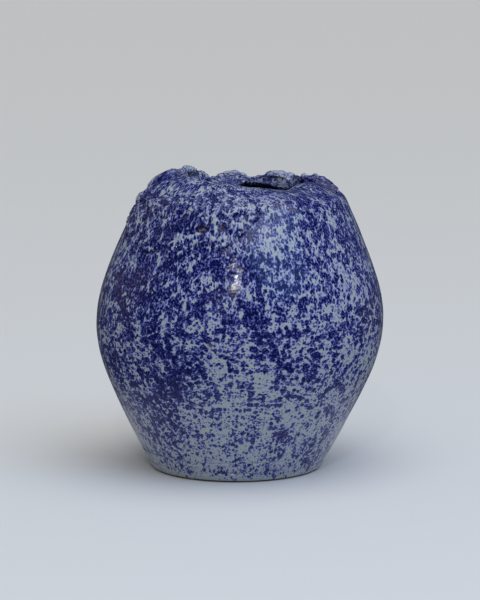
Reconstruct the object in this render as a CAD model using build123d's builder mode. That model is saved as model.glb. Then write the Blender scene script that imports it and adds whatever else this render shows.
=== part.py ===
"""Hand-built stoneware flower vase: a slab base on a foot ring, a two-part wall, and a rim of torn
clay strips pressed on to the mouth. Millimetres, +Z up, origin on the table under the belly's centre."""

import os
from math import cos, hypot, radians, sin

from build123d import *

# ---- driving dimensions ----
foot_height = 5.0  # the bare ring that the vase stands on
slab_top = 11.0  # inside floor of the vase
belly_height = 80.0  # widest level, where the lower and upper walls are joined
wall_top = 142.0  # level edge that carries the rim strips
wall_thickness = 5.6
lean = 0.024  # the throat sits a little to +X of the foot: sideways shift per unit of height

# Outer profile, foot to wall top: (height, radius)
outer_profile = [
    (0.0, 44.0),
    (slab_top, 50.2),
    (28.0, 58.7),
    (46.0, 67.2),
    (62.0, 72.6),
    (belly_height, 74.4),
    (96.0, 71.8),
    (112.0, 66.2),
    (128.0, 59.2),
    (wall_top, 52.6),
]

foot_ring_inner_radius = 32.0
foot_bevel = 0.9

# The clay folded down over the shoulder, on the front left. Its torn edge is drawn on an upright
# plane that faces flap_angle: (sideways, drop below the wall top), from one top corner to the other
flap_thickness = 1.6
flap_edge_thickness = 0.4
flap_angle = 232.0
flap_drop = 24.0
flap_torn_edge = [
    (-40.0, 0.0),
    (-41.0, 10.0),
    (-33.0, 17.0),
    (-22.0, 13.0),
    (-12.0, 22.0),
    (-2.0, 19.5),
    (8.0, flap_drop),
    (18.0, 16.0),
    (28.0, 18.5),
    (36.0, 9.0),
    (40.0, 0.0),
]

# Rim strips. Every strip is a run of cross-sections round the mouth. A section stands on the outer
# contact_width of the wall top, slopes in to its crest and curls over the mouth to its lip.
contact_width = 7.4
lip_thickness = 4.2
lip_undercut = 1.2  # the underside of the lip is set back this far from its edge
slope_inward = 0.42  # the outer slope bends here: share of the way in from the wall's edge to the crest
slope_upward = 0.5  # and share of the way up from the wall top to the crest
# Each row: angle round the mouth, crest radius, crest height, lip radius, lip height
rim_strips = {
    "rim_right_fold": [
        (-34.0, 36.0, 148.0, 28.5, 146.0),
        (-14.0, 38.0, 150.4, 29.5, 148.2),
        (4.0, 36.5, 151.9, 29.0, 149.6),
        (20.0, 34.5, 151.8, 28.0, 149.8),
        (33.0, 34.0, 150.2, 28.0, 148.4),
    ],
    "rim_back_right": [
        (33.0, 33.5, 149.4, 27.8, 147.4),
        (50.0, 33.5, 152.2, 26.8, 149.8),
        (66.0, 33.0, 151.6, 26.6, 149.4),
        (86.0, 32.8, 149.0, 27.2, 146.9),
    ],
    "rim_back_left": [
        (86.0, 32.8, 149.6, 27.0, 147.4),
        (104.0, 33.0, 152.0, 26.6, 149.6),
        (120.0, 33.6, 149.6, 27.0, 147.6),
        (136.0, 34.0, 150.0, 27.0, 147.8),
    ],
    "rim_left_fold": [
        (136.0, 34.5, 152.8, 27.0, 150.4),
        (150.0, 35.5, 155.4, 27.6, 152.8),
        (168.0, 37.0, 156.0, 28.6, 153.0),
        (186.0, 39.5, 154.2, 29.5, 151.2),
        (206.0, 38.5, 152.2, 28.8, 150.0),
    ],
    "rim_front_lip": [
        (206.0, 38.0, 152.0, 28.6, 150.0),
        (228.0, 36.0, 151.4, 28.0, 149.6),
        (252.0, 35.0, 150.3, 27.6, 148.6),
        (276.0, 35.0, 149.1, 27.6, 147.3),
        (300.0, 35.0, 147.4, 27.8, 145.7),
        (315.0, 35.2, 146.6, 28.0, 145.0),
        (326.0, 35.6, 147.4, 28.2, 145.7),
    ],
}


def centre_x(height):
    """Sideways place of the vase's axis at a height."""
    return lean * (height - belly_height)


def inner_profile():
    """The outer profile from the slab up, moved inwards by the wall's thickness along its normal."""
    inner = []
    for below, here, ahead in zip(outer_profile, outer_profile[1:], outer_profile[2:] + outer_profile[-1:]):
        rise = ahead[0] - below[0]
        run = ahead[1] - below[1]
        inner.append((here[0], here[1] - wall_thickness * hypot(rise, run) / rise))
    return inner


def turned_body(profile, extra=lambda height: 0.0):
    """A smooth round body through level circles, leaning with the vase. extra widens it by height."""
    with BuildPart() as body:
        for height, radius in profile:
            with BuildSketch(Plane.XY.offset(height)):
                with Locations((centre_x(height), 0)):
                    Circle(radius + extra(height))
        loft()
    return body.part


def level_slice(low, high):
    """Keeps what the part being built has between two heights."""
    split(bisect_by=Plane.XY.offset(low), keep=Keep.TOP)
    split(bisect_by=Plane.XY.offset(high), keep=Keep.BOTTOM)


def rim_section(angle, crest_radius, crest_height, lip_radius, lip_height):
    """One cross-section of a rim strip, drawn in the upright plane at that angle round the mouth."""
    turn = radians(angle)
    across = (cos(turn), sin(turn), 0)
    along = (sin(turn), -cos(turn), 0)
    outer_radius = outer_profile[-1][1]
    slope_bend = (
        outer_radius + slope_inward * (crest_radius - outer_radius),
        wall_top + slope_upward * (crest_height - wall_top),
    )
    foot_outside = (outer_radius, wall_top)
    foot_inside = (outer_radius - contact_width, wall_top)
    lip_edge = (lip_radius, lip_height)
    lip_under = (lip_radius + lip_undercut, lip_height - lip_thickness / 2)
    crest = (crest_radius, crest_height)
    with BuildSketch(Plane(origin=(centre_x(wall_top), 0, 0), x_dir=across, z_dir=along)) as section:
        with BuildLine():
            Line(foot_outside, foot_inside)
            Line(foot_inside, lip_under)
            Spline(lip_under, lip_edge, crest, slope_bend, foot_outside)
        make_face()
    return section.sketch


vase_outside = turned_body(outer_profile)
vase_inside = turned_body(inner_profile())

# ---- foot ring: bare clay, bevelled at the table ----
with BuildPart() as foot_ring:
    add(vase_outside)
    level_slice(0, foot_height)
    with Locations((centre_x(0), 0, 0)):
        Hole(foot_ring_inner_radius)
    foot_edges = foot_ring.edges().filter_by(GeomType.CIRCLE).group_by(Axis.Z)[0]
    chamfer(foot_edges, foot_bevel)

# ---- base slab: the floor of the vase ----
with BuildPart() as base_slab:
    add(vase_outside)
    level_slice(foot_height, slab_top)

# ---- walls: two bowls joined rim to rim at the belly ----
with BuildPart() as lower_wall:
    add(vase_outside)
    add(vase_inside, mode=Mode.SUBTRACT)
    level_slice(slab_top, belly_height)

with BuildPart() as upper_wall:
    add(vase_outside)
    add(vase_inside, mode=Mode.SUBTRACT)
    level_slice(belly_height, wall_top)

# ---- shoulder flap: clay from the rim folded down over the outside of the upper wall ----
def flap_depth(height):
    """The flap thins from the wall top to its torn lower edge."""
    share = (height - wall_top + flap_drop) / flap_drop
    return flap_edge_thickness + (flap_thickness - flap_edge_thickness) * max(0.0, share)


flap_rows = [row for row in outer_profile if row[0] > belly_height]
flap_outside = turned_body(flap_rows, flap_depth)
facing = (cos(radians(flap_angle)), sin(radians(flap_angle)), 0)
flap_plane = Plane(origin=(centre_x(wall_top), 0, wall_top), x_dir=(-facing[1], facing[0], 0), z_dir=facing)

with BuildPart() as shoulder_flap:
    with BuildSketch(flap_plane):
        with BuildLine():
            torn_edge = Spline([(side, -drop) for side, drop in flap_torn_edge])
            Line(torn_edge @ 0, torn_edge @ 1)
        make_face()
    extrude(amount=outer_profile[-1][1] * 2)
    add(flap_outside, mode=Mode.INTERSECT)
    add(vase_outside, mode=Mode.SUBTRACT)

pieces = {
    "foot_ring": foot_ring,
    "base_slab": base_slab,
    "lower_wall": lower_wall,
    "upper_wall": upper_wall,
    "shoulder_flap": shoulder_flap,
}

# ---- rim strips: torn clay pressed on to the wall top, each ending face to face with the next ----
for name, stations in rim_strips.items():
    with BuildPart() as strip:
        for station in stations:
            add(rim_section(*station))
        loft()
    pieces[name] = strip

os.makedirs("parts", exist_ok=True)
for name, piece in pieces.items():
    piece.part.label = name
    export_step(piece.part, f"parts/{name}.step")
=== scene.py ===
import math
import random

import bmesh
import bpy
from mathutils import Matrix, Vector, noise
from mathutils.bvhtree import BVHTree


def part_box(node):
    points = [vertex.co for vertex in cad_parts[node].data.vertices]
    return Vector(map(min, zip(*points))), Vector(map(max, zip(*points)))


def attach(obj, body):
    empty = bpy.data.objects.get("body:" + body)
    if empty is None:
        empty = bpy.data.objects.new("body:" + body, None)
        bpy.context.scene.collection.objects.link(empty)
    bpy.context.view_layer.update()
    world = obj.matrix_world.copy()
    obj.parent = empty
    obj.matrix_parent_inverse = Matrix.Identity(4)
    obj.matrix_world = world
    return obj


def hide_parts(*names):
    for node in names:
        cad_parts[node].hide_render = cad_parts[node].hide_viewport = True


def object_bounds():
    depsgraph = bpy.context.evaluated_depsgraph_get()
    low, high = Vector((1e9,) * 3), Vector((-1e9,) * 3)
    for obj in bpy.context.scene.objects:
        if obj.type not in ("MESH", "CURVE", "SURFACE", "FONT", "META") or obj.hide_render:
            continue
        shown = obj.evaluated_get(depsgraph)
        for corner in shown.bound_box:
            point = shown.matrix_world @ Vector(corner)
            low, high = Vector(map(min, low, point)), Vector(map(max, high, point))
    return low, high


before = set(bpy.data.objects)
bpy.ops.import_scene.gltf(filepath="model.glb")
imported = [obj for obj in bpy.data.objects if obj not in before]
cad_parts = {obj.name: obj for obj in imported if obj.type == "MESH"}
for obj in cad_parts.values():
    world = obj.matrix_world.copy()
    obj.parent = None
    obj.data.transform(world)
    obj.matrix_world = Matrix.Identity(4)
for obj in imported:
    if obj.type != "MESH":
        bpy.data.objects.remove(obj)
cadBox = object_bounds()
mm = 0.001
print("frame loaded")


# ---- measures taken from the frame ----

footLow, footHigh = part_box("foot_ring")
slabLow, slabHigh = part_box("base_slab")
bellyLow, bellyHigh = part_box("lower_wall")
wallLow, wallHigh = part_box("upper_wall")
tableHeight = footLow.z
footTop = footHigh.z
slabTop = slabHigh.z
bellyHeight = bellyHigh.z
wallTop = wallHigh.z
potTop = max(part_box(name)[1].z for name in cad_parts)
bellyMiddle = (bellyLow.x + bellyHigh.x) / 2
footMiddle = (footLow.x + footHigh.x) / 2
leanSlope = (bellyMiddle - footMiddle) / (bellyHeight - footTop)  # the throat leans a little to +X


def axisX(height):
    return bellyMiddle + leanSlope * (min(height, wallTop) - bellyHeight)


def spot(angle, reach, height):
    turn = math.radians(angle)
    return Vector((axisX(height) + reach * math.cos(turn), reach * math.sin(turn), height))


def polar(point):
    across = point.x - axisX(point.z)
    return math.degrees(math.atan2(point.y, across)) % 360, math.hypot(across, point.y)


def cadTree(*nodeNames):
    stock = bmesh.new()
    for name in nodeNames:
        stock.from_mesh(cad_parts[name].data)
    bmesh.ops.remove_doubles(stock, verts=stock.verts, dist=0.001 * mm)
    tree = BVHTree.FromBMesh(stock)
    stock.free()
    return tree


def castReach(tree, height, outward, casts=24, far=0.2):
    # the furthest of a few casts, because the CAD mesh is made of flat facets
    reach = 0
    for step in range(casts):
        axis = spot(0, 0, height)
        ray = spot(360 * (step + 0.4) / casts, 1, height) - axis
        hit = tree.ray_cast(axis, ray) if outward else tree.ray_cast(axis + ray * far, -ray)
        if hit[0] is not None:
            reach = max(reach, (hit[0] - axis).length)
    return reach


def evenSteps(start, end, spacing):
    count = max(1, round(abs(end - start) / spacing))
    return [start + (end - start) * step / count for step in range(count + 1)]


def smoothed(rows, rounds=6):
    # eases the corners that the facets leave in a profile of (reach, height)
    for _ in range(rounds):
        eased = [((a[0] + 2 * b[0] + c[0]) / 4, b[1]) for a, b, c in zip(rows, rows[1:], rows[2:])]
        rows = rows[:1] + eased + rows[-1:]
    return rows


def smoothStep(low, high, value):
    share = min(1.0, max(0.0, (value - low) / (high - low)))
    return share * share * (3 - 2 * share)


# ---- clay relief: what the hands left in the surface ----

handUneven = {"waveSize": 34 * mm, "waveDepth": 0.42 * mm, "dimpleSize": 9 * mm, "dimpleDepth": 0.14 * mm}


def unevenAt(point):
    wave = noise.noise(point / handUneven["waveSize"] + Vector((3.1, 7.7, 1.3)))
    dimple = noise.noise(point / handUneven["dimpleSize"] + Vector((9.2, 0.4, 5.8)))
    fade = smoothStep(1 * mm, 14 * mm, point.z - tableHeight)
    return fade * (wave * handUneven["waveDepth"] + dimple * handUneven["dimpleDepth"])


foldedClay = {"lumpSize": 4.4 * mm, "lumpDepth": 1.5 * mm, "crumbSize": 1.7 * mm, "crumbDepth": 0.45 * mm,
              "thinnest": 0.12 * mm, "fade": 4.0 * mm,
              "pits": [(250.2, -12.1, 3.2, 1.3), (260.2, -11.3, 2.2, 1.2), (236.0, -14.0, 1.6, 1.0)]}
flapTree = cadTree("shoulder_flap")


def lumpsAt(point, size, warp=0.35):
    # domes with creases between them, like pressed crumbs of clay
    bent = point + noise.noise_vector(point / size * 1.3) * size * warp
    near = noise.voronoi(bent / size)[0]
    return 1 - min(1.0, near[0] * 1.25) ** 2


def flapAt(point):
    # thickness of the clay that is folded down over the shoulder
    nearest = flapTree.find_nearest(point)
    cover = 1 - smoothStep(0.4 * mm, foldedClay["fade"], nearest[3])
    if cover <= 0:
        return 0
    lump = lumpsAt(point, foldedClay["lumpSize"])
    crumb = lumpsAt(point + Vector((1, 1, 1)), foldedClay["crumbSize"])
    thick = lump * foldedClay["lumpDepth"] + crumb * foldedClay["crumbDepth"]
    for angle, drop, width, height in foldedClay["pits"]:
        away = spot(angle, polar(point)[1], wallTop + drop * mm) - point
        beside = math.hypot(away.x, away.y) / (width * mm)
        above = abs(away.z) / (height * mm)
        thick *= smoothStep(0.6, 1.3, math.hypot(beside, above))
    return thick * cover


# ---- the pot as one turned shell, cut into its clay sections below ----

potShell = {"turns": 100, "cuts": 7, "outerSpacing": 0.9 * mm, "shoulderSpacing": 0.8 * mm, "innerSpacing": 2.4 * mm,
            "rimSpacing": 0.5 * mm, "sectionInset": 8.6 * mm, "sectionRise": 3.0 * mm, "lastSwing": 285,
            "easing": 3, "bend": 5 * mm, "bendEasing": 40}
rimNodes = ["rim_left_fold", "rim_back_left", "rim_back_right", "rim_right_fold", "rim_front_lip"]
wallTree = cadTree("upper_wall", "lower_wall")
rimTree = cadTree("upper_wall", *rimNodes)

outerRows = smoothed([(castReach(wallTree, height, False), height)
                      for height in evenSteps(slabTop + 0.01 * mm, bellyHeight, potShell["outerSpacing"])
                      + evenSteps(bellyHeight, wallTop - 0.01 * mm, potShell["shoulderSpacing"])[1:]])
innerRows = smoothed([(castReach(wallTree, height, True), height)
                      for height in evenSteps(wallTop - 0.01 * mm, slabTop + 0.01 * mm, potShell["innerSpacing"])])
wallTopOuter = outerRows[-1][0]
sectionReach = wallTopOuter - potShell["sectionInset"]
sectionHeight = wallTop + potShell["sectionRise"]


def rimHit(angle, swing):
    # the rim's surface in the upright section at an angle, seen from the middle of the section
    middle = spot(angle, sectionReach, sectionHeight)
    outward = spot(angle, 1, sectionHeight) - spot(angle, 0, sectionHeight)
    ray = outward * math.cos(math.radians(swing)) + Vector((0, 0, math.sin(math.radians(swing))))
    start = middle + ray * (6.5 * mm if swing > 240 else 30 * mm)
    hit = rimTree.ray_cast(start, -ray)
    return hit[0] if hit[0] is not None else middle + ray * 2.5 * mm


def rimRows(angle=270, step=0.5):
    # evenly spaced (reach, height) rows along the section at one angle
    first = math.degrees(math.atan2(wallTop - sectionHeight, wallTopOuter - sectionReach))
    dense = []
    swing = first
    while swing < potShell["lastSwing"]:
        hit = rimHit(angle, swing)
        dense.append((polar(hit)[1], hit.z))
        swing += step
    rows, travelled = [dense[0]], 0
    for before, after in zip(dense, dense[1:]):
        travelled += math.dist(before, after)
        if travelled >= potShell["rimSpacing"]:
            rows.append(after)
            travelled = 0
    return rows


section = outerRows + rimRows()[1:] + innerRows
crest = max(section, key=lambda row: row[1])
crestRun = sum(math.dist(before, after) for before, after in zip(section, section[1:section.index(crest) + 1]))


def turnedShell():
    shell = bmesh.new()
    run = shell.verts.layers.float.new("run")  # how far the glaze runs: up from the slab, over the rim and down inside
    wide = shell.verts.layers.float.new("wide")
    chain = [shell.verts.new((reach, 0, height)) for reach, height in section]
    for one, other in zip(chain, chain[1:]):
        other[run] = one[run] + (other.co - one.co).length
    for one, other in zip(chain, chain[1:] + chain[:1]):
        shell.edges.new((one, other))
        one[wide] = one.co.x
    bmesh.ops.spin(shell, geom=shell.verts[:] + shell.edges[:], axis=(0, 0, 1), cent=(0, 0, 0),
                   angle=math.tau, steps=potShell["turns"], use_merge=True)
    rings = [edge for edge in shell.edges if abs(edge.verts[0][run] - edge.verts[1][run]) < 0.01 * mm]
    bmesh.ops.subdivide_edges(shell, edges=rings, cuts=potShell["cuts"], use_grid_fill=True)
    onRim = []
    for vert in shell.verts:
        angle = math.degrees(math.atan2(vert.co.y, vert.co.x)) % 360
        reach, height = vert[wide], vert.co.z
        if height > wallTop:
            swing = math.degrees(math.atan2(height - sectionHeight, reach - sectionReach)) % 360
            vert.co = rimHit(angle, swing if swing < 300 else swing - 360)
            onRim.append(vert)
        else:
            vert.co = spot(angle, reach, height)
    bend = [vert for vert in shell.verts if abs(vert.co.z - wallTop) < potShell["bend"]
            and polar(vert.co)[1] > sectionReach]
    for verts, rounds in ((onRim, potShell["easing"]), (bend, potShell["bendEasing"])):
        for _ in range(rounds):
            bmesh.ops.smooth_vert(shell, verts=verts, factor=0.5, use_axis_x=True, use_axis_y=True,
                                  use_axis_z=True)
    bmesh.ops.recalc_face_normals(shell, faces=shell.faces)
    clothe(shell)
    return shell


def clothe(mesh):
    for face in mesh.faces:
        face.smooth = True


plainShell = turnedShell()
print("shell turned:", len(plainShell.verts), "vertices")
plainShell.normal_update()
for vert in plainShell.verts:
    vert.co += vert.normal * unevenAt(vert.co)


def fillCut(mesh, cutEdges, normal):
    for edge in cutEdges:
        edge.smooth = False
    caps = bmesh.ops.triangle_fill(mesh, use_beauty=True, edges=cutEdges, normal=normal)
    for face in caps["geom"]:
        if isinstance(face, bmesh.types.BMFace):
            face.smooth = False


def keepSide(mesh, point, normal):
    # cuts along a plane, keeps the side that the normal points to and closes the cut
    cut = bmesh.ops.bisect_plane(mesh, geom=mesh.verts[:] + mesh.edges[:] + mesh.faces[:], dist=1e-7,
                                 plane_co=point, plane_no=normal, clear_inner=True, clear_outer=False)
    edges = [item for item in cut["geom_cut"] if isinstance(item, bmesh.types.BMEdge)]
    fillCut(mesh, edges, -Vector(normal))


def finishPiece(mesh, name, material, nodes):
    bmesh.ops.recalc_face_normals(mesh, faces=mesh.faces)
    data = bpy.data.meshes.new(name)
    mesh.to_mesh(data)
    mesh.free()
    piece = bpy.data.objects.new(name, data)
    bpy.context.scene.collection.objects.link(piece)
    data.materials.append(material)
    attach(piece, "root")
    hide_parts(*nodes)
    print(name, len(data.polygons), "faces")
    return piece


# ---- rim relief: torn lumps, beads and wrinkles ----

# depth of the torn lumps by angle round the mouth, in mm
tornDepth = [(0, 0.5), (33, 0.9), (86, 1.0), (136, 1.0), (150, 0.9), (190, 1.1), (206, 1.1), (250, 0.9),
             (272, 0.3), (300, 0.12), (330, 0.2), (350, 0.4), (360, 0.5)]
# how far the relief is set back by angle, in mm, so that the lumps' crests keep to the rim's measured height;
# the dips at 24 and 350 degrees are the notch behind the right fold and the crease in front of it
rimSettle = [(0, 0.9), (7, 0.5), (12, 1.4), (16, 3.4), (30, 4.4), (36, 2.2), (60, 1.6), (86, 1.7), (110, 1.7),
             (126, 1.7), (131, 4.6), (140, 4.6), (144, 1.2), (150, 0.9), (165, 1.5), (180, 0.8), (190, -0.9),
             (202, -0.9), (212, 0.1), (250, 0.1), (280, 0.2), (330, 0.2), (360, 0.9)]
# the inner face of the folded lip by angle, in mm: how far from the axis it hangs, and down to what height
lipFace = [(0, 30.0), (36, 27.5), (80, 25.5), (95, 25.5), (136, 25.0), (150, 23.5), (168, 23.5), (180, 25.0), (190, 27.0),
           (200, 31.0), (215, 48.0), (340, 48.0), (352, 34.0), (360, 30.0)]
lipHang = [(0, 141.0), (46, 141.0), (60, 142.4), (72, 142.8), (88, 143.2), (96, 141.0), (106, 137.5), (200, 137.5),
           (215, 143.0), (340, 143.0), (360, 141.0)]
rimLumps = {"lumpSize": 4.6 * mm, "crumbSize": 1.8 * mm, "crumbShare": 0.3, "rise": 4 * mm,
            "lean": 0.35, "under": 2.2 * mm}
# creases in the rim, seen from above, in mm: (angle, reach, angle, reach, width behind, width in front, depth)
creases = [(250.0, 45.5, 256.3, 53.0, 1.5, 1.5, 1.9), (4.0, 27.0, 352.5, 51.0, 1.2, 7.0, 3.2),
           (194.0, 47.0, 212.0, 38.0, 1.3, 1.3, 1.2)]
lipBead = {"place": (247.8, 44.5, 149.8), "size": 3.3 * mm, "push": 1.5 * mm}
foldWrinkles = {"from": -29.5 * mm, "to": -20 * mm, "spacing": 1.35 * mm, "depth": 0.34 * mm,
                "notch": -31.8 * mm, "notchWidth": 2.0 * mm, "notchDepth": 0.9 * mm, "low": 147 * mm}


def alongAngle(stations, angle):
    for (before, low), (after, high) in zip(stations, stations[1:]):
        if before <= angle <= after:
            return low + (high - low) * (angle - before) / (after - before)
    return stations[-1][1]


def beadRow(count, angles, swings, size, push, seed):
    # beads pressed in a row: (place, size, push)
    draw = random.Random(seed)
    row = []
    for bead in range(count):
        share = bead / max(1, count - 1)
        angle = angles[0] + (angles[1] - angles[0]) * share + draw.uniform(-0.8, 0.8)
        swing = swings[0] + (swings[1] - swings[0]) * share + draw.uniform(-4, 4)
        scale = draw.uniform(0.8, 1.2)
        row.append((rimHit(angle, swing), size * scale * mm, push * scale * mm))
    return row


rimBeads = (beadRow(9, (9, -4.5), (170, 10), 2.2, 2.0, 3)
            + beadRow(6, (62, 40), (150, 140), 2.9, 1.4, 5)
            + beadRow(4, (112, 88), (150, 145), 3.2, 1.4, 8)
            + beadRow(3, (150, 141), (138, 140), 4.6, 1.0, 13)
            + beadRow(4, (186, 160), (60, 110), 4.4, 1.3, 21)
            + [(spot(lipBead["place"][0], lipBead["place"][1] * mm, lipBead["place"][2] * mm),
                lipBead["size"], lipBead["push"])])


def creaseAt(point):
    depth = 0
    for angle, reach, farAngle, farReach, behind, before, deep in creases:
        start, end = spot(angle, reach * mm, wallTop).xy, spot(farAngle, farReach * mm, wallTop).xy
        along = end - start
        share = min(1.0, max(0.0, (point.xy - start).dot(along) / along.length_squared))
        aside = point.xy - start - along * share
        width = behind if along.cross(aside) > 0 else before
        depth += deep * mm * math.exp(-(aside.length / (width * mm)) ** 2) * (1 - 0.6 * share)
    return depth


def rollAt(point, run):
    # how far the inner face of the folded lip is drawn into the mouth, so that it hangs down thick
    angle, reach = polar(point)
    hang = alongAngle(lipHang, angle) * mm
    face = alongAngle(lipFace, angle) * mm + rimLumps["lean"] * (point.z - wallTop)
    held = smoothStep(hang - rimLumps["under"], hang + rimLumps["under"], point.z)
    return max(0.0, reach - face) * held * smoothStep(crestRun, crestRun + 4 * mm, run)


def foldRelief(point):
    # wrinkles across the left fold and the notch between its two lobes
    if point.z < foldWrinkles["low"] or point.x > foldWrinkles["to"] or point.x < foldWrinkles["notch"] - 5 * mm:
        return 0
    share = smoothStep(foldWrinkles["low"], foldWrinkles["low"] + 2 * mm, point.z)
    away = (point.x - foldWrinkles["notch"]) / foldWrinkles["notchWidth"]
    relief = -foldWrinkles["notchDepth"] * math.exp(-away * away)
    if point.x > foldWrinkles["from"]:
        bend = noise.noise(point / (7 * mm)) * 1.6
        relief += foldWrinkles["depth"] * math.sin(math.tau * point.x / foldWrinkles["spacing"] + bend)
    return relief * share


def rimAt(point):
    # the relief in the rim, and how far the whole is set back
    angle, reach = polar(point)
    rise = smoothStep(-1 * mm, rimLumps["rise"], point.z - wallTop)
    if rise <= 0:
        return 0, 0
    lump = lumpsAt(point, rimLumps["lumpSize"]) - 0.4
    crumb = lumpsAt(point + Vector((1, 1, 1)), rimLumps["crumbSize"]) - 0.4
    push = alongAngle(tornDepth, angle) * mm * (lump + crumb * rimLumps["crumbShare"])
    for place, size, height in rimBeads:
        away = (point - place).length / size
        if away < 1:
            push = max(push, height * math.sqrt(1 - away * away))
    if 136 < angle < 206:
        push += foldRelief(point)
    return (push - creaseAt(point)) * rise, -alongAngle(rimSettle, angle) * mm * rise


# ---- materials ----

def addNode(tree, kind, inputs=None, **settings):
    node = tree.nodes.new(kind)
    for name, value in settings.items():
        setattr(node, name, value)
    for name, value in (inputs or {}).items():
        if isinstance(value, bpy.types.NodeSocket):
            tree.links.new(value, node.inputs[name])
        else:
            node.inputs[name].default_value = value
    return node


def mathNode(tree, operation, *values):
    return addNode(tree, "ShaderNodeMath", dict(enumerate(values)), operation=operation).outputs[0]


def blendColours(tree, factor, first, second, mode="MIX"):
    node = addNode(tree, "ShaderNodeMix", data_type="RGBA", blend_type=mode)
    for place, value in ((0, factor), (6, first), (7, second)):
        if isinstance(value, bpy.types.NodeSocket):
            tree.links.new(value, node.inputs[place])
        else:
            node.inputs[place].default_value = value
    return node.outputs[2]


def mapRange(tree, value, fromLow, fromHigh, toLow=0.0, toHigh=1.0, smooth=True):
    node = addNode(tree, "ShaderNodeMapRange", {"Value": value, "From Min": fromLow, "From Max": fromHigh,
                                                "To Min": toLow, "To Max": toHigh},
                   interpolation_type="SMOOTHSTEP" if smooth else "LINEAR")
    return node.outputs["Result"]


def newGroup(name, inputs, outputs):
    group = bpy.data.node_groups.new(name, "ShaderNodeTree")
    for title, kind, value in inputs:
        socket = group.interface.new_socket(title, in_out="INPUT", socket_type=kind)
        if value is not None:
            socket.default_value = value
    for title, kind in outputs:
        group.interface.new_socket(title, in_out="OUTPUT", socket_type=kind)
    return group, addNode(group, "NodeGroupInput"), addNode(group, "NodeGroupOutput")


def placeGroup(tree, group, inputs):
    return addNode(tree, "ShaderNodeGroup", inputs, node_tree=group)


# how thickly the cobalt lies, by share of the pot's height from the foot to the rim
cobaltByHeight = [(0.0, 0.10), (0.03, 0.37), (0.1, 0.44), (0.28, 0.48), (0.4, 0.56), (0.52, 0.60), (0.62, 0.60),
                  (0.75, 0.58), (0.9, 0.60), (1.0, 0.58)]
# (angle, height share, radius in mm, change): thicker and thinner patches of the sprayed cobalt; the paler ones on the
# front right, between 283 and 300 degrees from 0.8 of the height up to the lip, are partly thinner cobalt and partly
# painted sheen, where the window's bluish reflection lies
cobaltAndSheenPatches = [(243, 0.40, 34, 0.16), (262, 0.60, 26, 0.08), (218, 0.62, 34, 0.04), (235, 0.93, 34, 0.10),
                 (308, 0.66, 36, -0.07), (318, 0.34, 34, -0.10), (272, 0.26, 22, -0.08), (300, 0.24, 22, -0.06),
                 (278, 0.13, 16, -0.06), (284, 0.88, 16, -0.04), (316, 0.84, 14, -0.04), (256, 0.47, 8, -0.12),
                 (225, 0.30, 30, 0.08), (60, 0.45, 40, 0.12), (120, 0.30, 34, -0.12), (20, 0.68, 26, -0.10), (356, 1.04, 15, 0.5), (305.6, 0.957, 7, 0.10),
                 (300, 0.953, 4.5, -0.35), (283.9, 0.998, 5, -0.3),
                 (212, 0.78, 34, 0.14), (222, 0.56, 18, -0.10), (207, 0.41, 22, 0.14), (268, 0.50, 18, -0.14),
                 (284, 0.36, 27, -0.13), (298, 0.80, 22, -0.07), (325, 0.72, 24, -0.06), (330, 0.5, 30, -0.05)]
speckleLook = {"sizes": [2.9, 1.9, 1.1], "strengths": [0.78, 0.76, 0.70], "softness": 0.12, "warp": 0.6 * mm,
               "grainSize": 0.75, "lowGrain": 0.2, "highGrain": 0.44}
glazeColours = {"ground": (0.35, 0.39, 0.37, 1), "lavender": (0.25, 0.285, 0.50, 1), "blue": (0.105, 0.125, 0.34, 1),
                "cobalt": (0.013, 0.018, 0.13, 1), "night": (0.002, 0.003, 0.05, 1),
                "plum": (0.055, 0.038, 0.072, 1), "rust": (0.10, 0.07, 0.02, 1)}
# (angle, height share, radius in mm, strength): where the colour is mixed towards a dark plum, broadest near the left
# outline and also near the right one
plumPatches = [(203, 0.80, 44, 0.9), (222, 0.97, 14, 0.5), (212, 0.55, 26, 0.35), (262, 0.68, 16, 0.25), (334, 0.60, 24, 0.35),
               (90, 0.6, 40, 0.4), (176, 1.04, 14, 0.3)]
# the same for the pits in the folded clay, where the bare clay's iron shows through
rustPatches = [(250.2, 0.915, 4.2, 1.0), (260.2, 0.920, 3.4, 1.0), (258.8, 0.53, 2.4, 0.8), (278.7, 0.524, 1.4, 0.8)]


def surfacePoint(angle, height):
    if height > wallTop:
        return spot(angle, sectionReach, height)
    return spot(angle, castReach(wallTree, height, False), height)


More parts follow.
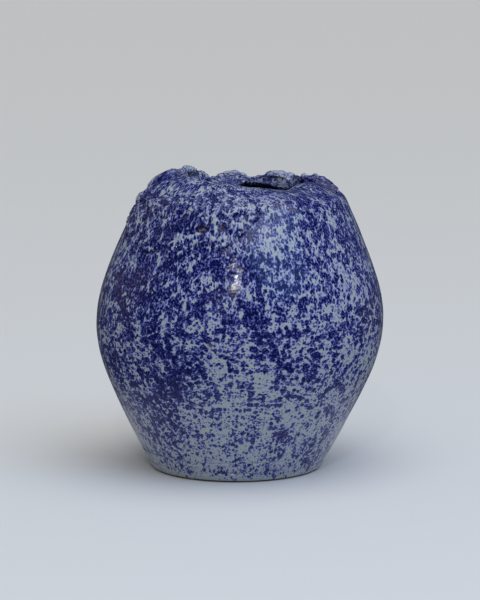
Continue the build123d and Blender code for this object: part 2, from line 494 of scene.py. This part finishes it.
def coverGroup():
    group, source, sink = newGroup("cobaltAndSheenCover", [("Place", "NodeSocketVector", None)],
                                   [("Density", "NodeSocketFloat"), ("Plum", "NodeSocketFloat"), ("Rust", "NodeSocketFloat")])
    place = source.outputs["Place"]
    height = addNode(group, "ShaderNodeSeparateXYZ", {"Vector": place}).outputs["Z"]
    share = mapRange(group, height, tableHeight, potTop, smooth=False)
    ramp = addNode(group, "ShaderNodeValToRGB", {"Fac": share})
    stops = ramp.color_ramp.elements
    while len(stops) < len(cobaltByHeight):
        stops.new(0.5)
    for stop, (level, amount) in zip(stops, cobaltByHeight):
        stop.position = level
        stop.color = (amount, amount, amount, 1)
    broad = addNode(group, "ShaderNodeTexNoise", {"Vector": place, "Scale": 38.0, "Detail": 3.0, "Roughness": 0.6})
    small = addNode(group, "ShaderNodeTexNoise", {"Vector": place, "Scale": 130.0, "Detail": 2.0, "Roughness": 0.6})
    density = mathNode(group, "ADD", ramp.outputs["Color"], mapRange(group, broad.outputs[0], 0.3, 0.7, -0.10, 0.10))
    density = mathNode(group, "ADD", density, mapRange(group, small.outputs[0], 0.3, 0.7, -0.14, 0.14))
    # the paler patches on the front right carry painted sheen as well as thinner cobalt
    for angle, level, radius, change in cobaltAndSheenPatches:
        middle = surfacePoint(angle, tableHeight + (wallTop - tableHeight) * level)
        away = addNode(group, "ShaderNodeVectorMath", {0: place, 1: middle}, operation="DISTANCE").outputs["Value"]
        density = mathNode(group, "ADD", density, mapRange(group, away, 0, radius * mm, change, 0))
    group.links.new(density, sink.inputs["Density"])
    masks = []
    for patches in (plumPatches, rustPatches):
        mask = 0.0
        for angle, level, radius, strength in patches:
            middle = surfacePoint(angle, tableHeight + (wallTop - tableHeight) * level)
            away = addNode(group, "ShaderNodeVectorMath", {0: place, 1: middle}, operation="DISTANCE").outputs["Value"]
            mask = mathNode(group, "ADD", mask, mapRange(group, away, 0, radius * mm, strength, 0))
        masks.append(mask)
    plum, rust = masks
    plum = mathNode(group, "MULTIPLY", plum, mapRange(group, broad.outputs[0], 0.35, 0.6))
    group.links.new(plum, sink.inputs["Plum"])
    group.links.new(rust, sink.inputs["Rust"])
    return group


def speckleGroup():
    group, source, sink = newGroup("glazeSpeckle", [("Flow", "NodeSocketVector", None), ("Density", "NodeSocketFloat", 0.5),
                                                    ("Stretch", "NodeSocketFloat", 1.0), ("Grain", "NodeSocketFloat", 0.4)],
                                   [("Pigment", "NodeSocketFloat"), ("Pick", "NodeSocketFloat")])
    tall = addNode(group, "ShaderNodeCombineXYZ", {"X": 1.0, "Y": 1.0, "Z": source.outputs["Stretch"]})
    flow = addNode(group, "ShaderNodeVectorMath", {0: source.outputs["Flow"], 1: tall.outputs[0]}, operation="MULTIPLY")
    ripple = addNode(group, "ShaderNodeTexNoise", {"Vector": flow.outputs[0], "Scale": 420.0, "Detail": 2.0})
    centred = addNode(group, "ShaderNodeVectorMath", {0: ripple.outputs["Color"], 1: (0.5, 0.5, 0.5)},
                      operation="SUBTRACT")
    warp = speckleLook["warp"]
    bent = addNode(group, "ShaderNodeVectorMath", {0: centred.outputs[0], 1: (warp, warp, warp), 2: flow.outputs[0]},
                   operation="MULTIPLY_ADD").outputs[0]
    clear, pick = 1.0, None
    for size, strength in zip(speckleLook["sizes"], speckleLook["strengths"]):
        cells = addNode(group, "ShaderNodeTexVoronoi", {"Vector": bent, "Scale": 1000.0 / size})
        draw = addNode(group, "ShaderNodeSeparateColor", {"Color": cells.outputs["Color"]})
        pick = pick or draw.outputs["Green"]
        spread = mapRange(group, draw.outputs["Red"], 0, 1, -0.3, 0.22, smooth=False)
        edge = mathNode(group, "ADD", mathNode(group, "MULTIPLY", source.outputs["Density"], 0.82), spread)
        gap = mathNode(group, "SUBTRACT", cells.outputs["Distance"], edge)
        dot = mapRange(group, gap, speckleLook["softness"], -speckleLook["softness"], 0, strength)
        clear = mathNode(group, "MULTIPLY", clear, mathNode(group, "SUBTRACT", 1.0, dot))
    fine = addNode(group, "ShaderNodeTexNoise", {"Vector": flow.outputs[0], "Scale": 1000.0 / speckleLook["grainSize"],
                                                 "Detail": 1.0})
    grain = mathNode(group, "MULTIPLY", source.outputs["Grain"],
                     mapRange(group, fine.outputs[0], 0.3, 0.7, -1.0, 1.0, smooth=False))
    pigment = addNode(group, "ShaderNodeMath", {0: mathNode(group, "SUBTRACT", 1.0, clear), 1: grain},
                      operation="ADD", use_clamp=True)
    group.links.new(pigment.outputs[0], sink.inputs["Pigment"])
    group.links.new(pick, sink.inputs["Pick"])
    return group


def peelGroup():
    group, source, sink = newGroup("orangePeel", [("Place", "NodeSocketVector", None), ("Size", "NodeSocketFloat", 1.0)],
                                   [("Height", "NodeSocketFloat")])
    scale = mathNode(group, "DIVIDE", 1000.0, source.outputs["Size"])
    pores = addNode(group, "ShaderNodeTexNoise", {"Vector": source.outputs["Place"], "Scale": scale, "Detail": 2.0,
                                                  "Roughness": 0.55})
    swell = addNode(group, "ShaderNodeTexNoise", {"Vector": source.outputs["Place"],
                                                  "Scale": mathNode(group, "MULTIPLY", scale, 0.28), "Detail": 1.0})
    height = mathNode(group, "ADD", pores.outputs[0], mathNode(group, "MULTIPLY", swell.outputs[0], 1.5))
    group.links.new(height, sink.inputs["Height"])
    return group


cobaltAndSheenCover = coverGroup()
glazeSpeckle = speckleGroup()
orangePeel = peelGroup()


def glazeMaterial(name, stretch, peelSize, peelDepth, roughness):
    material = bpy.data.materials.new(name)
    material.use_nodes = True
    tree = material.node_tree
    tree.nodes.clear()
    place = addNode(tree, "ShaderNodeTexCoord").outputs["Object"]
    flow = addNode(tree, "ShaderNodeAttribute", attribute_name="flow").outputs["Vector"]
    ridge = addNode(tree, "ShaderNodeAttribute", attribute_name="ridge").outputs["Fac"]
    cover = placeGroup(tree, cobaltAndSheenCover, {"Place": place})
    pooled = mapRange(tree, ridge, 0.0, 1.0, 0.34, -0.34, smooth=False)
    density = mathNode(tree, "ADD", cover.outputs["Density"], pooled)
    rise = addNode(tree, "ShaderNodeSeparateXYZ", {"Vector": place}).outputs["Z"]
    grain = mapRange(tree, rise, bellyHeight - 8 * mm, bellyHeight + 22 * mm, speckleLook["lowGrain"],
                     speckleLook["highGrain"])
    speckle = placeGroup(tree, glazeSpeckle, {"Flow": flow, "Density": density, "Stretch": stretch, "Grain": grain})
    pigment = speckle.outputs["Pigment"]
    ramp = addNode(tree, "ShaderNodeValToRGB", {"Fac": pigment})
    stops = ramp.color_ramp.elements
    for _ in range(3):
        stops.new(0.5)
    for stop, (level, colour) in zip(stops, [(0.0, "ground"), (0.2, "lavender"), (0.53, "blue"), (0.84, "cobalt"),
                                             (1.0, "night")]):
        stop.position = level
        stop.color = glazeColours[colour]
    colour = ramp.outputs["Color"]
    plum = mathNode(tree, "MULTIPLY", cover.outputs["Plum"], mapRange(tree, pigment, 0.3, 0.9))
    colour = blendColours(tree, plum, colour, glazeColours["plum"])
    rust = mathNode(tree, "MULTIPLY", cover.outputs["Rust"], mapRange(tree, pigment, 0.1, 0.7, 0.75, 0.35))
    colour = blendColours(tree, rust, colour, glazeColours["rust"])
    peel = placeGroup(tree, orangePeel, {"Place": place, "Size": peelSize})
    bump = addNode(tree, "ShaderNodeBump", {"Height": peel.outputs["Height"], "Distance": peelDepth * mm,
                                            "Strength": 1.0})
    shader = addNode(tree, "ShaderNodeBsdfPrincipled", {"Base Color": colour, "Roughness": roughness, "IOR": 1.42,
                                                        "Normal": bump.outputs["Normal"]})
    addNode(tree, "ShaderNodeOutputMaterial", {"Surface": shader.outputs[0]})
    return material


def clayMaterial(name):
    material = bpy.data.materials.new(name)
    material.use_nodes = True
    tree = material.node_tree
    tree.nodes.clear()
    place = addNode(tree, "ShaderNodeTexCoord").outputs["Object"]
    grit = addNode(tree, "ShaderNodeTexNoise", {"Vector": place, "Scale": 900.0, "Detail": 4.0, "Roughness": 0.7})
    stain = addNode(tree, "ShaderNodeTexNoise", {"Vector": place, "Scale": 120.0, "Detail": 3.0})
    colour = blendColours(tree, mapRange(tree, stain.outputs[0], 0.35, 0.65), (0.10, 0.07, 0.045, 1),
                          (0.035, 0.027, 0.02, 1))
    bump = addNode(tree, "ShaderNodeBump", {"Height": grit.outputs[0], "Distance": 0.15 * mm, "Strength": 1.0})
    shader = addNode(tree, "ShaderNodeBsdfPrincipled", {"Base Color": colour, "Roughness": 0.85,
                                                        "Normal": bump.outputs["Normal"]})
    addNode(tree, "ShaderNodeOutputMaterial", {"Surface": shader.outputs[0]})
    return material


speckledGlaze = glazeMaterial("speckledGlaze", 1.0, 0.9, 0.045, 0.07)
rimGlaze = glazeMaterial("rimGlaze", 1.0, 1.3, 0.06, 0.08)
bareClay = clayMaterial("bareClay")
print("materials made")


# ---- the pot's clay sections ----

flowReach = 62 * mm
# (run, pull): how far the blotches are drawn out down the slope, by how far up the wall they lie
flowPull = [(-0.1, 1.0), (70 * mm, 1.0), (90 * mm, 0.6), (132 * mm, 0.6), (148 * mm, 1.3), (1.0, 1.3)]


def flowAlong(run):
    total = 0
    for (start, pull), (end, nextPull) in zip(flowPull, flowPull[1:]):
        part = min(run, end) - start
        if part <= 0:
            break
        total += part * (pull + (nextPull - pull) * part / (end - start) / 2)
    return total


wallShell = plainShell
wallShell.normal_update()
flowLayer = wallShell.verts.layers.float_vector.new("flow")
ridgeLayer = wallShell.verts.layers.float.new("ridge")
outwardLayer = wallShell.verts.layers.float_vector.new("outward")
foldedLayer = wallShell.verts.layers.float.new("folded")
runLayer = wallShell.verts.layers.float["run"]
flapLowest = wallTop - 34 * mm
for vert in wallShell.verts:
    turn = math.radians(polar(vert.co)[0])
    vert[flowLayer] = (flowReach * math.cos(turn), flowReach * math.sin(turn), flowAlong(vert[runLayer]))
    vert[outwardLayer] = vert.normal
    ridge = 0.5
    if vert.co.z > flapLowest:
        folded = flapAt(vert.co)
        push, shift = rimAt(vert.co)
        vert[foldedLayer] = folded
        ridge += push / (2.2 * mm)
        if folded > 0:
            ridge += (folded - 0.9 * mm) / (2.6 * mm) * min(1.0, folded / (0.4 * mm))
        inward = spot(polar(vert.co)[0], rollAt(vert.co, vert[runLayer]), vert.co.z) - spot(0, 0, vert.co.z)
        vert.co += vert.normal * (push + shift) - inward
    vert[ridgeLayer] = min(1.0, max(0.0, ridge))
fullShell = wallShell.copy()
for vert, plain in zip(fullShell.verts, wallShell.verts):
    vert.co += plain.normal * plain[foldedLayer]
print("relief pressed in")


def keepBetween(shell, low, high):
    section = shell.copy()
    keepSide(section, (0, 0, low), (0, 0, 1))
    if high is not None:
        keepSide(section, (0, 0, high), (0, 0, -1))
    return section


def makeWalls():
    lower = wallShell.copy()
    keepSide(lower, (0, 0, bellyHeight), (0, 0, -1))
    finishPiece(lower, "lowerWall", speckledGlaze, ["lower_wall"])
    upper = keepBetween(wallShell, bellyHeight, wallTop)
    finishPiece(upper, "upperWall", speckledGlaze, ["upper_wall"])


def makeFlap():
    flap = wallShell.copy()
    deep = flap.verts.layers.float["folded"]
    outward = flap.verts.layers.float_vector["outward"]
    spare = [face for face in flap.faces
             if min(vert[deep] for vert in face.verts) < foldedClay["thinnest"]
             or max(vert.co.z for vert in face.verts) > wallTop + 3 * mm]
    bmesh.ops.delete(flap, geom=spare, context="FACES")
    lifted = bmesh.ops.extrude_face_region(flap, geom=flap.faces[:], use_keep_orig=True)
    for item in lifted["geom"]:
        if isinstance(item, bmesh.types.BMVert):
            item.co += Vector(item[outward]) * item[deep]
    keepSide(flap, (0, 0, wallTop), (0, 0, -1))
    finishPiece(flap, "shoulderFlap", rimGlaze, ["shoulder_flap"])


def makeRimStrips():
    strips = {"rimRightFold": ("rim_right_fold", -34, 33), "rimBackRight": ("rim_back_right", 33, 86),
              "rimBackLeft": ("rim_back_left", 86, 136), "rimLeftFold": ("rim_left_fold", 136, 206),
              "rimFrontLip": ("rim_front_lip", 206, 326)}
    ring = keepBetween(fullShell, wallTop, None)
    for name, (node, start, end) in strips.items():
        strip = ring.copy()
        middle = spot(0, 0, wallTop)
        startWay, endWay = (spot(angle, 1, wallTop) - middle for angle in (start, end))
        keepSide(strip, middle, (-startWay.y, startWay.x, 0))
        keepSide(strip, middle, (endWay.y, -endWay.x, 0))
        finishPiece(strip, name, rimGlaze, [node])
    ring.free()


makeWalls()
makeFlap()
makeRimStrips()


# ---- base slab and foot ring ----

base = {"steps": 400, "spacing": 0.8 * mm, "glazeLine": 0.9 * mm, "glazeThickness": 0.4 * mm}


def turnedPiece(section, name, material, nodes, closed):
    piece = bmesh.new()
    run = piece.verts.layers.float.new("run")
    chain = [piece.verts.new((reach, 0, height)) for reach, height in section]
    for vert in chain:
        vert[run] = vert.co.z - slabTop
    for one, other in zip(chain, chain[1:] + (chain[:1] if closed else [])):
        piece.edges.new((one, other))
    bmesh.ops.spin(piece, geom=piece.verts[:] + piece.edges[:], axis=(0, 0, 1), cent=(0, 0, 0),
                   angle=math.tau, steps=base["steps"], use_merge=True)
    bmesh.ops.remove_doubles(piece, verts=piece.verts, dist=0.001 * mm)
    flow = piece.verts.layers.float_vector.new("flow")
    ridge = piece.verts.layers.float.new("ridge")
    bmesh.ops.recalc_face_normals(piece, faces=piece.faces)
    piece.normal_update()
    for vert in piece.verts:
        turn = math.atan2(vert.co.y, vert.co.x)
        vert[flow] = (flowReach * math.cos(turn), flowReach * math.sin(turn), vert[run])
        vert[ridge] = 0.5
        vert.co.x += axisX(vert.co.z)
        vert.co += vert.normal * unevenAt(vert.co)
    clothe(piece)
    return finishPiece(piece, name, material, nodes)


def makeBase():
    footTree = cadTree("foot_ring", "base_slab")
    rows = [(castReach(footTree, height, False), height)
            for height in evenSteps(footTop + 0.01 * mm, slabTop - 0.01 * mm, base["spacing"])]
    slab = [(0, slabTop)] + rows[::-1] + [(0, footTop)]
    turnedPiece(slab, "baseSlab", speckledGlaze, ["base_slab"], False)
    ringInside = castReach(cadTree("foot_ring"), footTop / 2, True)
    glaze = [(castReach(footTree, height, False), height)
             for height in evenSteps(tableHeight + base["glazeLine"], footTop - 0.01 * mm, base["spacing"])]
    clay = [(reach - base["glazeThickness"], height) for reach, height in glaze]
    bottom = clay[0][0]
    ring = ([(ringInside, footTop), (ringInside, tableHeight + 0.8 * mm), (ringInside + 0.8 * mm, tableHeight)]
            + [(bottom - 0.6 * mm, tableHeight), (bottom - 0.1 * mm, tableHeight + 0.3 * mm)] + clay)
    turnedPiece(ring, "footRing", bareClay, ["foot_ring"], True)
    turnedPiece(glaze + clay[::-1], "footGlaze", speckledGlaze, ["foot_ring"], True)


makeBase()
print("pieces made")


# ---- floor, lights and camera ----

studio = {"cameraDistance": 1.2, "cameraElevation": 8.3, "aimShare": 0.6127, "lens": 138.5,
          "floorReach": 40.0, "floorColour": (0.65, 0.67, 0.68, 1)}
potMiddle = Vector((0, 0, (cadBox[0].z + cadBox[1].z) / 2))


def wayTo(azimuth, elevation):
    turn, rise = math.radians(azimuth), math.radians(elevation)
    return Vector((math.sin(turn) * math.cos(rise), -math.cos(turn) * math.cos(rise), math.sin(rise)))


def pointAt(thing, place, target):
    thing.location = place
    thing.rotation_euler = (target - place).to_track_quat("-Z", "Y").to_euler()


def areaLight(name, azimuth, elevation, distance, size, power, colour, height=None):
    data = bpy.data.lights.new(name, "AREA")
    data.shape = "ELLIPSE"
    data.size, data.size_y = size, height or size
    data.energy, data.color = power, colour
    lamp = bpy.data.objects.new(name, data)
    bpy.context.scene.collection.objects.link(lamp)
    pointAt(lamp, potMiddle + wayTo(azimuth, elevation) * distance, potMiddle)
    return lamp


def sunLight(name, azimuth, elevation, spread, strength, colour):
    data = bpy.data.lights.new(name, "SUN")
    data.angle, data.energy, data.color = math.radians(spread), strength, colour
    lamp = bpy.data.objects.new(name, data)
    bpy.context.scene.collection.objects.link(lamp)
    pointAt(lamp, potMiddle + wayTo(azimuth, elevation), potMiddle)
    return lamp


def makeFloor():
    mesh = bmesh.new()
    bmesh.ops.create_circle(mesh, cap_ends=True, segments=96, radius=studio["floorReach"])
    bmesh.ops.translate(mesh, verts=mesh.verts, vec=(0, 0, tableHeight))
    data = bpy.data.meshes.new("floor")
    mesh.to_mesh(data)
    mesh.free()
    floor = bpy.data.objects.new("floor", data)
    bpy.context.scene.collection.objects.link(floor)
    material = bpy.data.materials.new("paleFloor")
    material.use_nodes = True
    tree = material.node_tree
    tree.nodes.clear()
    place = addNode(tree, "ShaderNodeTexCoord").outputs["Object"]
    away = addNode(tree, "ShaderNodeVectorMath", {0: place}, operation="LENGTH").outputs["Value"]
    # in reflections only, the floor goes dark from 5 to 16 cm out from the middle: painted shade in the glaze's
    # reflections, while the floor itself stays evenly pale
    mirrored = addNode(tree, "ShaderNodeLightPath").outputs["Is Glossy Ray"]
    share = mathNode(tree, "MULTIPLY", mirrored, mapRange(tree, away, 0.05, 0.16, 0.0, 0.95))
    colour = blendColours(tree, share, studio["floorColour"], (0.02, 0.02, 0.025, 1))
    shader = addNode(tree, "ShaderNodeBsdfPrincipled", {"Base Color": colour, "Roughness": 0.75,
                                                        "Specular IOR Level": 0.2})
    addNode(tree, "ShaderNodeOutputMaterial", {"Surface": shader.outputs[0]})
    data.materials.append(material)


def makeWorld():
    world = bpy.data.worlds.new("studioAir")
    bpy.context.scene.world = world
    world.use_nodes = True
    tree = world.node_tree
    tree.nodes.clear()
    path = addNode(tree, "ShaderNodeLightPath")
    colour = blendColours(tree, path.outputs["Is Glossy Ray"], (0.34, 0.34, 0.345, 1), (0.06, 0.07, 0.10, 1))
    colour = blendColours(tree, path.outputs["Is Camera Ray"], colour, (0.54, 0.57, 0.61, 1))
    light = addNode(tree, "ShaderNodeBackground", {"Color": colour, "Strength": 1.0})
    addNode(tree, "ShaderNodeOutputWorld", {"Surface": light.outputs[0]})


def makeCamera():
    data = bpy.data.cameras.new("camera")
    data.lens, data.sensor_width = studio["lens"], 36
    camera = bpy.data.objects.new("camera", data)
    bpy.context.scene.collection.objects.link(camera)
    aim = Vector((0, 0, tableHeight + (wallTop - tableHeight) * studio["aimShare"]))
    pointAt(camera, aim + wayTo(0, studio["cameraElevation"]) * studio["cameraDistance"], aim)
    bpy.context.scene.camera = camera


makeFloor()
makeWorld()
makeCamera()
sunLight("overhead", 35, 74, 70, 1.68, (1.0, 0.99, 0.97))
areaLight("window", 39, 45, 1.8, 1.6, 8.0, (0.24, 0.5, 1.0))
areaLight("deskLamp", -4.4, 31.8, 1.5, 0.09, 1.6, (1.0, 0.98, 0.96), 0.045)
areaLight("ceilingLamp", -15, 43, 1.6, 0.08, 0.25, (1.0, 0.97, 0.93))
bpy.context.scene.view_settings.view_transform = "Standard"
print("studio set")
